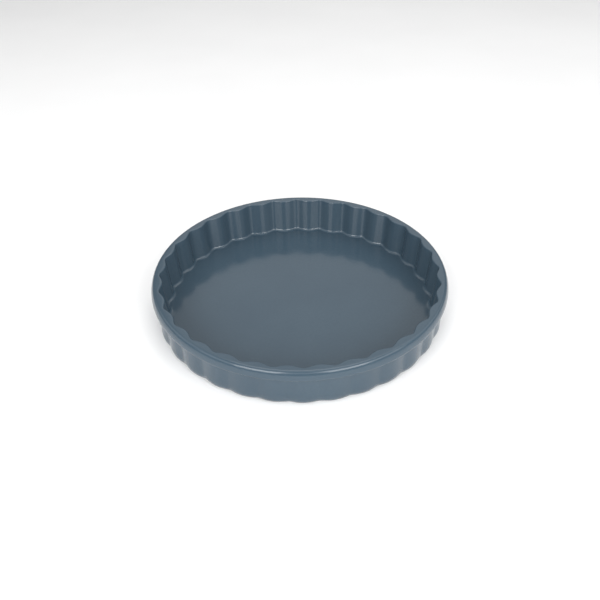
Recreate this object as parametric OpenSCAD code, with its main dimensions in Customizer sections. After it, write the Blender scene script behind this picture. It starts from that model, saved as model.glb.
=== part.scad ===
// Round fluted tart dish: one fired stoneware body under one coat of glaze.
// The dish stands on a bare foot ring. +Z is up, and the origin is the centre of
// the foot ring's underside. One inner groove of the flutes points along -Y.

/* [Dish] */
// Widest diameter, over the rim collar
rim_d = 280; // [220:5:320]
// Height from the foot ring's underside to the flat top of the rim
dish_h = 40.5; // [32:0.5:50]
// Height of the floor's upper surface above the foot ring's underside
floor_top = 5; // [4:0.5:8]

/* [Rim collar] */
// Height of the plain collar round the outside of the rim
collar_h = 9.4; // [7:0.1:11]
// How far the collar stands out past the flutes just below it
collar_step = 2.9; // [1.5:0.1:4]
// Radius of the rounding along the collar's top edge
edge_r = 3; // [1:0.1:3.4]
// Radius of the bulge of the collar's face, seen in section
face_r = 12; // [11:0.5:40]
// Radius of the rounding along the collar's lower edge
lip_r = 1.8; // [1:0.1:2.2]

/* [Flutes] */
// Number of flutes round the wall
flutes = 32; // [24:1:36]
// Wall thickness at the rim, from an outer lobe to the inner groove behind it
wall_t = 4.6; // [3.8:0.1:6]
// Depth of the inner flutes at the rim
inner_depth = 3.4; // [1.5:0.1:4]
// Depth of the outer flutes
outer_depth = 1.6; // [0.8:0.1:2.5]
// How far the inner lobes lean in between the rim and the floor
inner_lean = 3.4; // [1:0.1:6]
// How far the inner grooves lean in between the rim and the floor
groove_lean = 3.1; // [0:0.1:4]
// Height of the rounding along the bottom edge of the wall
heel_h = 9.5; // [3:0.5:12]
// Width of the rounding along the bottom edge of the wall
heel_w = 4.5; // [2:0.5:6]

/* [Foot ring] */
// How far the middle of the foot ring lies inside the rim's widest line
foot_inset = 18; // [14:0.5:40]
// Width of the foot ring
foot_w = 7; // [4:0.5:10]
// Height that the foot ring stands below the glazed base
foot_h = 0.8; // [0.5:0.1:1.5]

/* [Glaze] */
// Thickness of the glaze coat
glaze_t = 0.4; // [0.3:0.05:0.6]

/* [Hidden] */

round_fn = 180;
lobe_fn = 96;
arc_steps = 8;
// Overlap and overrun of cutting shapes
over = 5;
// Depth that the foot ring runs up into the base
bond = 1;

pitch = 360 / flutes;
half_pitch = pitch / 2;
rim_r = rim_d / 2;
collar_z = dish_h - collar_h;
cavity_h = dish_h - floor_top;

// Outermost radius of the outer lobes
lobe_r = rim_r - collar_step;

// Radii of the inner grooves and lobes, at the rim and at the floor
groove_rim_r = lobe_r - wall_t;
groove_floor_r = groove_rim_r - groove_lean;
inner_rim_r = groove_rim_r - inner_depth;
inner_floor_r = inner_rim_r - inner_lean;

// An arc that spans one flute and rises by `depth` at its middle, on a ring of
// radius `ring_r`. `bow` is 1 where the arc bulges outward and -1 where it bulges
// inward, since the ring's own curve then adds to the rise or takes from it.
function arc_radius(ring_r, depth, bow) =
    let (half_chord = ring_r * sin(half_pitch))
    let (ring_rise = ring_r * (1 - cos(half_pitch)))
    let (rise = depth + bow * ring_rise)
    (half_chord * half_chord + rise * rise) / (2 * rise);

outer_arc_r = arc_radius(lobe_r, outer_depth, 1);
outer_arc_center = lobe_r - outer_arc_r;
// The inner arcs fill the whole flute where it is deepest
deepest = inner_depth + max(0, inner_lean - groove_lean);
inner_arc_r = arc_radius(inner_floor_r, deepest, -1);

// The collar's face bulges on one arc, upright at its widest line. It has leant back
// by `face_tilt` where it passes smoothly into the rounding of the top edge.
widest_z = collar_z + lip_r;
face_rise = dish_h - edge_r - widest_z;
face_tilt = asin(face_rise / (face_r - edge_r));
edge_center = rim_r - face_r + (face_r - edge_r) * cos(face_tilt);

// Points along an arc with half widths `rx` and `rz`, between two angles. `skip`
// leaves that many points out at either end.
function arc_points(cx, cz, rx, rz, from, to, skip = 0) =
    [for (i = [skip : arc_steps - skip])
        let (a = from + (to - from) * i / arc_steps)
        [cx + rx * cos(a), cz + rz * sin(a)]];

// The rim collar: flat on top, with its outer edges rounded. `skin` is how far
// inside the glazed surface the shape lies.
module collar(skin) {
    lip = lip_r - skin;
    face = face_r - skin;
    edge = edge_r - skin;
    rotate_extrude($fn = round_fn)
        polygon(concat(
            [[groove_rim_r - over, collar_z + skin]],
            arc_points(rim_r - lip_r, widest_z, lip, lip, -90, 0),
            arc_points(rim_r - face_r, widest_z, face, face, 0, face_tilt, 1),
            arc_points(edge_center, dish_h - edge_r, edge, edge, face_tilt, 90),
            [[groove_rim_r - over, dish_h - skin]]
        ));
}

// The outward lobes of the wall, each a round bar standing in a solid core
module outer_lobes(skin) {
    bar_h = collar_z + lip_r + skin - foot_h;
    translate([0, 0, foot_h])
        cylinder(h = bar_h, r = outer_arc_center, $fn = round_fn);
    for (i = [0 : flutes - 1])
        rotate([0, 0, i * pitch])
            translate([outer_arc_center, 0, foot_h])
                rotate([0, 0, 180])
                    cylinder(h = bar_h, r = outer_arc_r - skin, $fn = lobe_fn);
}

// A round solid that takes the lobes in at the bottom edge of the wall. Its arc
// runs out past the lobes, so that the two surfaces cross at a clear angle.
module heel_limit(skin) {
    base_z = foot_h + skin;
    start_r = lobe_r - skin - heel_w;
    span = 1.35;
    rotate_extrude($fn = round_fn)
        polygon(concat(
            [[0, base_z]],
            arc_points(start_r, base_z + heel_h * span, heel_w * span, heel_h * span, -90, 0),
            [[start_r + heel_w * span, dish_h]],
            [[0, dish_h]]
        ));
}

// The whole dish without its hollow and without its foot
module outer_form(skin) {
    intersection() {
        outer_lobes(skin);
        heel_limit(skin);
    }
    collar(skin);
}

// The hollow: a shallow cone with one leaning round bar cut out for each inner lobe
module cavity(skin) {
    lean = atan(inner_lean / cavity_h);
    bar_r = inner_arc_r - skin;
    bar_center = inner_floor_r + inner_arc_r / cos(lean);
    slope = groove_lean / cavity_h;
    floor_z = floor_top - skin;
    difference() {
        translate([0, 0, floor_z])
            cylinder(
                h = cavity_h + skin + over,
                r1 = groove_floor_r + skin - slope * skin,
                r2 = groove_rim_r + skin + slope * over,
                $fn = round_fn
            );
        for (i = [0 : flutes - 1])
            rotate([0, 0, (i + 0.5) * pitch])
                translate([bar_center, 0, floor_top])
                    rotate([0, lean, 0])
                        translate([0, 0, -2 * over])
                            cylinder(h = cavity_h + 4 * over, r = bar_r, $fn = lobe_fn);
    }
}

module foot_ring() {
    rotate_extrude($fn = round_fn)
        translate([rim_r - foot_inset - foot_w / 2, 0])
            square([foot_w, foot_h + glaze_t + bond]);
}

// The fired clay: floor, fluted wall, collar and bare foot ring in one piece
module clay_form() {
    difference() {
        outer_form(glaze_t);
        cavity(glaze_t);
    }
    foot_ring();
}

module stoneware_body() {
    color([0.78, 0.70, 0.60])
        clay_form();
}

// The glaze: a thin shell over the clay, open only where the foot ring comes through
module glaze_coat() {
    color([0.27, 0.34, 0.38])
        difference() {
            outer_form(0);
            cavity(0);
            clay_form();
        }
}

stoneware_body();
glaze_coat();
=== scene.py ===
"""Looks of the fluted stoneware tart dish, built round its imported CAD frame.

The dish is swept from one profile: every station of the profile is a closed ring
of points, and the flutes are a wave that the wall's rings carry. The glaze coat is
the swept surface with a second one a glaze thickness inside it, and the clay body
is that inner surface closed by the bare foot ring.
Lengths are in metres. Angles are in radians, except where a comment says degrees.
"""

from math import asin, cos, degrees, pi, radians, sin

import bpy
import numpy as np
from mathutils import Matrix, Vector


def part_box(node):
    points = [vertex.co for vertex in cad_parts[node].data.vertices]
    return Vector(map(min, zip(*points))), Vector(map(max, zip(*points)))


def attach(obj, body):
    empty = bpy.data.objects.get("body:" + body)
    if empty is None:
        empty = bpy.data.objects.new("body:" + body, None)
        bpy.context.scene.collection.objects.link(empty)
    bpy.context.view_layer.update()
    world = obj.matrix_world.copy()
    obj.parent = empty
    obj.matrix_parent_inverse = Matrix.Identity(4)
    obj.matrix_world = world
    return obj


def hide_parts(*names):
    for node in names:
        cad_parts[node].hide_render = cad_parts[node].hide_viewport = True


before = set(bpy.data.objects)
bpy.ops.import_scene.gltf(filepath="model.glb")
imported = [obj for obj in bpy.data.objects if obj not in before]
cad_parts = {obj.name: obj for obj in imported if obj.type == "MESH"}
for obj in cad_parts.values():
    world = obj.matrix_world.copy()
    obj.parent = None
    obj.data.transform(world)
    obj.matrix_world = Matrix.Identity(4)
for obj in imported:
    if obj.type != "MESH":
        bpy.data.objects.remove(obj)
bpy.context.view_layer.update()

MM = 0.001

# ---------------------------------------------------------------- sizes, as in the CAD
LOW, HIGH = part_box("glaze_coat")
RIM_R = max(HIGH.x - LOW.x, HIGH.y - LOW.y) / 2
TOP_Z = HIGH.z
BASE_Z = LOW.z
FLUTES = 32
PITCH = 2 * pi / FLUTES

COLLAR_H = 9.4 * MM
COLLAR_STEP = 2.9 * MM
WALL_T = 4.6 * MM
INNER_DEPTH = 3.4 * MM
OUTER_DEPTH = 1.6 * MM
INNER_LEAN = 3.4 * MM
GROOVE_LEAN = 3.1 * MM
FLOOR_Z = 5.0 * MM
FOOT_MID_R = RIM_R - 18 * MM
FOOT_W = 7 * MM
GLAZE_T = 0.4 * MM

LOBE_R = RIM_R - COLLAR_STEP
COLLAR_Z = TOP_Z - COLLAR_H
GROOVE_RIM_R = LOBE_R - WALL_T
INNER_RIM_R = GROOVE_RIM_R - INNER_DEPTH

# Roundings of the wall's bottom edge and of the collar's lower edge, face and top edge
HEEL_W = 4.5 * MM
HEEL_H = 9.5 * MM
LIP_ROUND = 1.8 * MM
FACE_ROUND = 12 * MM
EDGE_ROUND = 3.0 * MM

# ---------------------------------------------------------------- sizes that only the looks have
# Roundings under the collar, on the rim's inner edge, round the floor and on the foot ring
NECK_W = 0.5 * MM
NECK_H = 1.0 * MM
INNER_EDGE = 1.3 * MM
FLOOR_FILLET = 3.0 * MM
FOOT_EDGE = 0.4 * MM

# How round the grooves are, as a share of half a flute
INNER_GROOVE_ROUND = 0.30
OUTER_GROOVE_ROUND = 0.20

# ---------------------------------------------------------------- how fine the meshes are
STEPS_PER_FLUTE = 16
RING = FLUTES * STEPS_PER_FLUTE

# Steps of the profile over each of its parts, from the foot ring to the floor
BASE_STEPS = 5
HEEL_STEPS = 8
OUTER_WALL_STEPS = 10
NECK_STEPS = 6
LIP_STEPS = 8
FACE_STEPS = 6
EDGE_STEPS = 9
RIM_TOP_STEPS = 4
BROW_STEPS = 5
INNER_WALL_STEPS = 8
FILLET_STEPS = 8
FLOOR_EDGE_STEPS = 4

# Steps over the foot ring's rounded edges and its flat underside
FOOT_EDGE_STEPS = 4
FOOT_STEPS = 6

# The floor and the underside have rings at these shares of their plain radius
PLAIN_FLOOR_R = 0.8 * RIM_R
FLOOR_SHARES = (1.0, 0.85, 0.7, 0.55, 0.4, 0.25, 0.1)
UNDER_SHARES = (0.1, 0.3, 0.5, 0.7, 0.85, 0.95, 1.0)

# ---------------------------------------------------------------- the dish
ANGLES = np.arange(RING) * (2 * pi / RING)


def groove_wave(angles, offset, roundness):
    """1 in the middle of a groove and 0 on the crest of a lobe, all round the dish.

    The lobes are arcs that meet in the grooves, and roundness softens the meeting.
    """
    turns = (angles - offset) / PITCH
    from_groove = 2 * np.abs(turns - np.round(turns))
    soft = np.sqrt(from_groove ** 2 + roundness ** 2) - roundness
    soft /= np.sqrt(1 + roundness ** 2) - roundness
    return (1 - soft) ** 2


# Inner grooves sit at whole flute pitches, and the outer grooves lie between them
INNER_WAVE = groove_wave(ANGLES, 0.0, INNER_GROOVE_ROUND)
OUTER_WAVE = groove_wave(ANGLES, PITCH / 2, OUTER_GROOVE_ROUND)
WALL_OUT_R = LOBE_R - OUTER_DEPTH * OUTER_WAVE


def wall_in_radius(z):
    """Radius of the fluted inner wall at height z, all round the dish."""
    down = (TOP_Z - z) / (TOP_Z - FLOOR_Z)
    groove = GROOVE_RIM_R - GROOVE_LEAN * down
    lobe = INNER_RIM_R - INNER_LEAN * down
    return lobe + (groove - lobe) * INNER_WAVE


def arc(r_mid, z_mid, r_size, z_size, start, end, steps):
    """Stations along an elliptical arc, given in degrees from the +r direction."""
    for i in range(steps + 1):
        a = radians(start + (end - start) * i / steps)
        yield r_mid + r_size * cos(a), z_mid + z_size * sin(a)


def line(start, end, steps):
    """Stations evenly spaced between two others, without those two."""
    for i in range(1, steps):
        k = i / steps
        yield tuple(a + (b - a) * k for a, b in zip(start, end))


def collar_face():
    """Stations of the collar: its lip, its bulging face and its top edge."""
    widest_z = COLLAR_Z + LIP_ROUND
    reach = FACE_ROUND - EDGE_ROUND
    tilt = asin((TOP_Z - EDGE_ROUND - widest_z) / reach)
    lip = list(arc(RIM_R - LIP_ROUND, widest_z,
                   LIP_ROUND, LIP_ROUND, -90, 0, LIP_STEPS))
    face = list(arc(RIM_R - FACE_ROUND, widest_z,
                    FACE_ROUND, FACE_ROUND, 0, degrees(tilt), FACE_STEPS))
    edge = list(arc(RIM_R - FACE_ROUND + reach * cos(tilt), TOP_Z - EDGE_ROUND,
                    EDGE_ROUND, EDGE_ROUND, degrees(tilt), 90, EDGE_STEPS))
    return lip + face[1:-1] + edge


def upper_profile():
    """Stations of the glazed surface from the foot ring's outer side to the floor's middle."""
    stations = [(FOOT_MID_R + FOOT_W / 2, BASE_Z)]
    heel_r = WALL_OUT_R - HEEL_W
    heel = list(arc(heel_r, BASE_Z + HEEL_H, HEEL_W, HEEL_H, -90, 0, HEEL_STEPS))
    stations += line(stations[-1], heel[0], BASE_STEPS)
    stations += heel

    neck = list(arc(WALL_OUT_R + NECK_W, COLLAR_Z - NECK_H,
                    NECK_W, NECK_H, 180, 90, NECK_STEPS))
    stations += line(heel[-1], neck[0], OUTER_WALL_STEPS)
    stations += neck
    stations += collar_face()

    inner_top_r = wall_in_radius(TOP_Z - INNER_EDGE)
    brow = list(arc(inner_top_r + INNER_EDGE, TOP_Z - INNER_EDGE,
                    INNER_EDGE, INNER_EDGE, 90, 180, BROW_STEPS))
    stations += line(stations[-1], brow[0], RIM_TOP_STEPS)
    stations += brow

    fillet_top = FLOOR_Z + FLOOR_FILLET
    fillet_r = wall_in_radius(fillet_top)
    fillet = list(arc(fillet_r - FLOOR_FILLET, fillet_top,
                      FLOOR_FILLET, FLOOR_FILLET, 0, -90, FILLET_STEPS))
    brow_z = brow[-1][1]
    for i in range(1, INNER_WALL_STEPS):
        z = brow_z + (fillet_top - brow_z) * i / INNER_WALL_STEPS
        stations.append((wall_in_radius(z), z))
    stations += fillet

    stations += line(fillet[-1], (PLAIN_FLOOR_R, FLOOR_Z), FLOOR_EDGE_STEPS)
    stations += [(PLAIN_FLOOR_R * share, FLOOR_Z) for share in FLOOR_SHARES]
    return stations


def under_profile():
    """Stations of the glazed underside from its middle to the foot ring's inner side."""
    end_r = FOOT_MID_R - FOOT_W / 2
    return [(end_r * share, BASE_Z) for share in UNDER_SHARES]


def sweep(stations):
    """Ring after ring of points for the stations of a profile, as one array."""
    rings = []
    for r, z in stations:
        r = np.broadcast_to(r, RING)
        z = np.broadcast_to(z, RING)
        rings.append(np.stack([r * np.cos(ANGLES), r * np.sin(ANGLES), z], axis=1))
    return np.concatenate(rings)


def band_faces(first, second, flip=False):
    """Quads between two rings, given by the index of each ring's first point."""
    faces = []
    for i in range(RING):
        j = (i + 1) % RING
        quad = (first + i, first + j, second + j, second + i)
        faces.append(quad[::-1] if flip else quad)
    return faces


def cap_faces(ring, middle, flip=False):
    """Triangles from a ring to the point in its middle."""
    faces = []
    for i in range(RING):
        j = (i + 1) % RING
        triangle = (ring + i, ring + j, middle)
        faces.append(triangle[::-1] if flip else triangle)
    return faces


class Shell:
    """Points and faces of a closed surface that is put together from ring bands."""

    def __init__(self):
        self.points = []
        self.faces = []
        self.count = 0

    def add_rings(self, points, flip=False):
        """Adds a run of rings and the bands between them; returns its first and last ring."""
        first = self.count
        rings = len(points) // RING
        self.points.append(points)
        self.count += len(points)
        for k in range(rings - 1):
            self.faces += band_faces(first + k * RING, first + (k + 1) * RING, flip)
        return first, first + (rings - 1) * RING

    def cap(self, ring, z, flip=False):
        """Closes a ring with a fan round a point on the axis."""
        self.points.append(np.array([[0.0, 0.0, z]]))
        self.faces += cap_faces(ring, self.count, flip)
        self.count += 1

    def join(self, first, second, flip=False):
        """Adds the band between two rings that belong to different runs."""
        self.faces += band_faces(first, second, flip)

    def make(self, name):
        """Makes the mesh object, shaded smooth."""
        mesh = bpy.data.meshes.new(name)
        mesh.from_pydata(np.concatenate(self.points).tolist(), [], self.faces)
        mesh.update()
        mesh.validate()
        obj = bpy.data.objects.new(name, mesh)
        bpy.context.scene.collection.objects.link(obj)
        mesh.shade_smooth()
        return obj


def ring_normals(points):
    """Outward unit normals of a swept run of rings, from its own neighbouring points."""
    grid = points.reshape(-1, RING, 3)
    along_ring = np.roll(grid, -1, axis=1) - np.roll(grid, 1, axis=1)
    along_profile = np.gradient(grid, axis=0)
    normal = np.cross(along_ring, along_profile)
    normal /= np.linalg.norm(normal, axis=2, keepdims=True)
    return normal.reshape(-1, 3)


UPPER = sweep(upper_profile())
UNDER = sweep(under_profile())
UPPER_CLAY = UPPER - GLAZE_T * ring_normals(UPPER)
UNDER_CLAY = UNDER - GLAZE_T * ring_normals(UNDER)


def build_glaze():
    """The glaze coat: a thin closed shell over the clay, and a thin disc under the base."""
    shell = Shell()
    foot_out, floor_out = shell.add_rings(UPPER)
    shell.cap(floor_out, FLOOR_Z)
    foot_in, floor_in = shell.add_rings(UPPER_CLAY, flip=True)
    shell.cap(floor_in, FLOOR_Z - GLAZE_T, flip=True)
    shell.join(foot_out, foot_in, flip=True)

    middle_out, ring_out = shell.add_rings(UNDER)
    shell.cap(middle_out, BASE_Z, flip=True)
    middle_in, ring_in = shell.add_rings(UNDER_CLAY, flip=True)
    shell.cap(middle_in, BASE_Z + GLAZE_T)
    shell.join(ring_out, ring_in)
    return shell.make("glazed_surface")


def build_clay():
    """The fired clay: the surface under the glaze, closed by the bare foot ring."""
    inner_r = FOOT_MID_R - FOOT_W / 2
    outer_r = FOOT_MID_R + FOOT_W / 2
    foot = list(arc(inner_r + FOOT_EDGE, FOOT_EDGE,
                    FOOT_EDGE, FOOT_EDGE, 180, 270, FOOT_EDGE_STEPS))
    foot += line(foot[-1], (outer_r - FOOT_EDGE, 0.0), FOOT_STEPS)
    foot += arc(outer_r - FOOT_EDGE, FOOT_EDGE,
                FOOT_EDGE, FOOT_EDGE, 270, 360, FOOT_EDGE_STEPS)

    shell = Shell()
    foot_side, floor_end = shell.add_rings(UPPER_CLAY)
    shell.cap(floor_end, FLOOR_Z - GLAZE_T)
    middle, under_side = shell.add_rings(UNDER_CLAY)
    shell.cap(middle, BASE_Z + GLAZE_T, flip=True)
    foot_first, foot_last = shell.add_rings(sweep(foot))
    shell.join(under_side, foot_first)
    shell.join(foot_last, foot_side)
    return shell.make("clay_body")


# ---------------------------------------------------------------- materials
GLAZE_DARK = (0.038, 0.0645, 0.0895)
GLAZE_LIGHT = (0.0436, 0.0723, 0.098)
GLAZE_FLECK = (0.034, 0.0585, 0.083)
CLAY_DARK = (0.50, 0.39, 0.28)
CLAY_LIGHT = (0.62, 0.51, 0.39)
IRON_SPECK = (0.16, 0.10, 0.07)
PAPER_DARK = (0.86, 0.86, 0.86)
PAPER_LIGHT = (0.88, 0.88, 0.88)

GLAZE_IOR = 1.52
GLAZE_ROUGHNESS = (0.13, 0.19)
CLAY_ROUGHNESS = (0.75, 0.92)
PAPER_ROUGHNESS = 0.9
PEEL_DEPTH = 0.06 * MM
GRIT_DEPTH = 0.2 * MM

# Most of a noise lies in this range
NOISE_RANGE = (0.3, 0.7)

# The Mix node's two colour inputs and its colour output
MIX_FIRST, MIX_SECOND, MIX_RESULT = 6, 7, 2


def new_material(name):
    """A new material, its node tree and its Principled shader."""
    material = bpy.data.materials.new(name)
    material.use_nodes = True
    tree = material.node_tree
    shader = tree.nodes["Principled BSDF"]
    return material, tree, shader


def noise(tree, scale, detail):
    """A noise texture in the dish's own coordinates, in features per metre."""
    place = tree.nodes.new("ShaderNodeTexCoord")
    node = tree.nodes.new("ShaderNodeTexNoise")
    node.inputs["Scale"].default_value = scale
    node.inputs["Detail"].default_value = detail
    tree.links.new(place.outputs["Object"], node.inputs["Vector"])
    return node.outputs["Fac"]


def spread(tree, value, source, target=(0.0, 1.0)):
    """Maps a value from one range to another, each given by its low and high end."""
    node = tree.nodes.new("ShaderNodeMapRange")
    node.inputs["From Min"].default_value, node.inputs["From Max"].default_value = source
    node.inputs["To Min"].default_value, node.inputs["To Max"].default_value = target
    tree.links.new(value, node.inputs["Value"])
    return node.outputs["Result"]


def blend_colors(tree, factor, first, second):
    """Mixes two colours, each an RGB tuple or a socket."""
    node = tree.nodes.new("ShaderNodeMix")
    node.data_type = "RGBA"
    tree.links.new(factor, node.inputs["Factor"])
    for index, color in ((MIX_FIRST, first), (MIX_SECOND, second)):
        if isinstance(color, tuple):
            node.inputs[index].default_value = (*color, 1.0)
        else:
            tree.links.new(color, node.inputs[index])
    return node.outputs[MIX_RESULT]


def bump(tree, height, distance, strength):
    """A bump of the given depth, from a height between 0 and 1."""
    node = tree.nodes.new("ShaderNodeBump")
    node.inputs["Distance"].default_value = distance
    node.inputs["Strength"].default_value = strength
    tree.links.new(height, node.inputs["Height"])
    return node.outputs["Normal"]


def glaze_material():
    """Slate blue-grey glaze: glossy, faintly mottled, with a very slight orange peel."""
    material, tree, shader = new_material("slate_glaze")
    cloud = spread(tree, noise(tree, scale=14, detail=3), NOISE_RANGE)
    fleck = spread(tree, noise(tree, scale=420, detail=2), (0.35, 0.75), (0.0, 0.35))
    body = blend_colors(tree, cloud, GLAZE_DARK, GLAZE_LIGHT)
    color = blend_colors(tree, fleck, body, GLAZE_FLECK)
    tree.links.new(color, shader.inputs["Base Color"])
    gloss = spread(tree, noise(tree, scale=60, detail=4), NOISE_RANGE, GLAZE_ROUGHNESS)
    tree.links.new(gloss, shader.inputs["Roughness"])
    shader.inputs["IOR"].default_value = GLAZE_IOR
    peel = bump(tree, noise(tree, scale=160, detail=2), PEEL_DEPTH, strength=0.35)
    tree.links.new(peel, shader.inputs["Normal"])
    return material


def clay_material():
    """Bare buff stoneware: dry, sandy, with small dark iron specks."""
    material, tree, shader = new_material("bare_stoneware")
    cloud = spread(tree, noise(tree, scale=35, detail=4), NOISE_RANGE)
    body = blend_colors(tree, cloud, CLAY_DARK, CLAY_LIGHT)
    speck = spread(tree, noise(tree, scale=900, detail=1), (0.66, 0.72))
    color = blend_colors(tree, speck, body, IRON_SPECK)
    tree.links.new(color, shader.inputs["Base Color"])
    dryness = spread(tree, noise(tree, scale=200, detail=3), NOISE_RANGE, CLAY_ROUGHNESS)
    tree.links.new(dryness, shader.inputs["Roughness"])
    grit = bump(tree, noise(tree, scale=1600, detail=3), GRIT_DEPTH, strength=0.5)
    tree.links.new(grit, shader.inputs["Normal"])
    return material


def floor_material():
    """Pale seamless paper."""
    material, tree, shader = new_material("pale_floor")
    shade = spread(tree, noise(tree, scale=6, detail=2), NOISE_RANGE)
    color = blend_colors(tree, shade, PAPER_DARK, PAPER_LIGHT)
    tree.links.new(color, shader.inputs["Base Color"])
    shader.inputs["Roughness"].default_value = PAPER_ROUGHNESS
    return material


# ---------------------------------------------------------------- the studio
FLOOR_HALF = 6.0
SURROUND_STRENGTH = 0.3

# Name, width, height and watts of each softbox, and then its azimuth in degrees, its
# elevation in degrees and its distance from the dish
SOFTBOXES = (
    ("far_left", 0.75, 0.85, 2.8, -60, 34, 1.5),
    ("front_left", 0.75, 0.9, 13.5, -30, 31, 1.5),
    ("front_middle", 0.75, 0.5, 1.6, 0, 27, 1.5),
    ("front_right", 0.75, 0.9, 12.0, 30, 31, 1.5),
    ("far_right", 0.75, 0.85, 4.4, 60, 34, 1.5),
    ("side_left", 1.1, 0.9, 2.8, -108, 42, 1.5),
    ("side_right", 1.1, 0.9, 3.2, 108, 42, 1.5),
    ("overhead", 1.0, 0.9, 2.0, 0, 84, 1.2),
    ("back_low", 1.3, 0.95, 2.5, 175, 36, 2.2),
    ("back_high", 1.3, 0.9, 9.4, 172, 63, 2.2),
)

# Where the camera is, seen from the middle of the rim's top. Its distance is in rim radii.
CAMERA_ELEVATION = 0.6282
CAMERA_TURN = radians(-1.1)
CAMERA_DISTANCE = 4.8768
# How far it looks below that point, and how it is rolled
CAMERA_DIP = 0.0408
CAMERA_ROLL = -0.0145
# Focal length and film width, in millimetres
CAMERA_LENS = 43.16
CAMERA_FILM = 36.0


def build_floor():
    """A wide flat floor just touching the foot ring."""
    mesh = bpy.data.meshes.new("floor")
    corners = [(x * FLOOR_HALF, y * FLOOR_HALF, 0) for x, y in ((-1, -1), (1, -1), (1, 1), (-1, 1))]
    mesh.from_pydata(corners, [], [(0, 1, 2, 3)])
    floor = bpy.data.objects.new("floor", mesh)
    bpy.context.scene.collection.objects.link(floor)
    floor.data.materials.append(floor_material())
    return floor


def soft_light(name, size_x, size_y, power, place):
    """A rectangular softbox at a place, facing the dish."""
    light = bpy.data.lights.new(name, "AREA")
    light.shape = "RECTANGLE"
    light.size = size_x
    light.size_y = size_y
    light.energy = power
    obj = bpy.data.objects.new(name, light)
    obj.location = place
    obj.rotation_euler = (-Vector(place)).to_track_quat("-Z", "Y").to_euler()
    bpy.context.scene.collection.objects.link(obj)


def around(azimuth, elevation, distance):
    """A place seen from the origin, in degrees; azimuth 0 is the front, and +90 the right."""
    a, e = radians(azimuth), radians(elevation)
    return (distance * cos(e) * sin(a), -distance * cos(e) * cos(a), distance * sin(e))


def build_lights():
    """Softboxes in front, at the sides, overhead and behind, in an even surrounding."""
    world = bpy.data.worlds.new("studio")
    bpy.context.scene.world = world
    world.use_nodes = True
    background = world.node_tree.nodes["Background"]
    background.inputs["Color"].default_value = (1.0, 1.0, 1.0, 1.0)
    background.inputs["Strength"].default_value = SURROUND_STRENGTH
    for name, width, height, watts, azimuth, elevation, distance in SOFTBOXES:
        soft_light(name, width, height, watts, around(azimuth, elevation, distance))


def build_camera():
    """The camera, aimed a little below the rim's middle and rolled slightly."""
    distance = CAMERA_DISTANCE * RIM_R
    flat = distance * cos(CAMERA_ELEVATION)
    place = Vector((flat * sin(CAMERA_TURN), -flat * cos(CAMERA_TURN),
                    TOP_Z + distance * sin(CAMERA_ELEVATION)))
    tilt = pi / 2 - CAMERA_ELEVATION - CAMERA_DIP
    turn = (Matrix.Rotation(CAMERA_TURN, 4, "Z") @ Matrix.Rotation(tilt, 4, "X")
            @ Matrix.Rotation(CAMERA_ROLL, 4, "Z"))
    data = bpy.data.cameras.new("camera")
    data.lens = CAMERA_LENS
    data.sensor_width = CAMERA_FILM
    camera = bpy.data.objects.new("camera", data)
    camera.matrix_world = Matrix.Translation(place) @ turn
    bpy.context.scene.collection.objects.link(camera)
    bpy.context.scene.camera = camera


# ---------------------------------------------------------------- the scene
def build_dish():
    """Both pieces of the dish, each standing for its CAD node."""
    glaze = build_glaze()
    glaze.data.materials.append(glaze_material())
    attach(glaze, "root")
    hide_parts("glaze_coat")

    clay = build_clay()
    clay.data.materials.append(clay_material())
    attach(clay, "root")
    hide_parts("stoneware_body")


build_dish()
build_floor()
build_lights()
build_camera()
bpy.context.scene.view_settings.view_transform = "Standard"
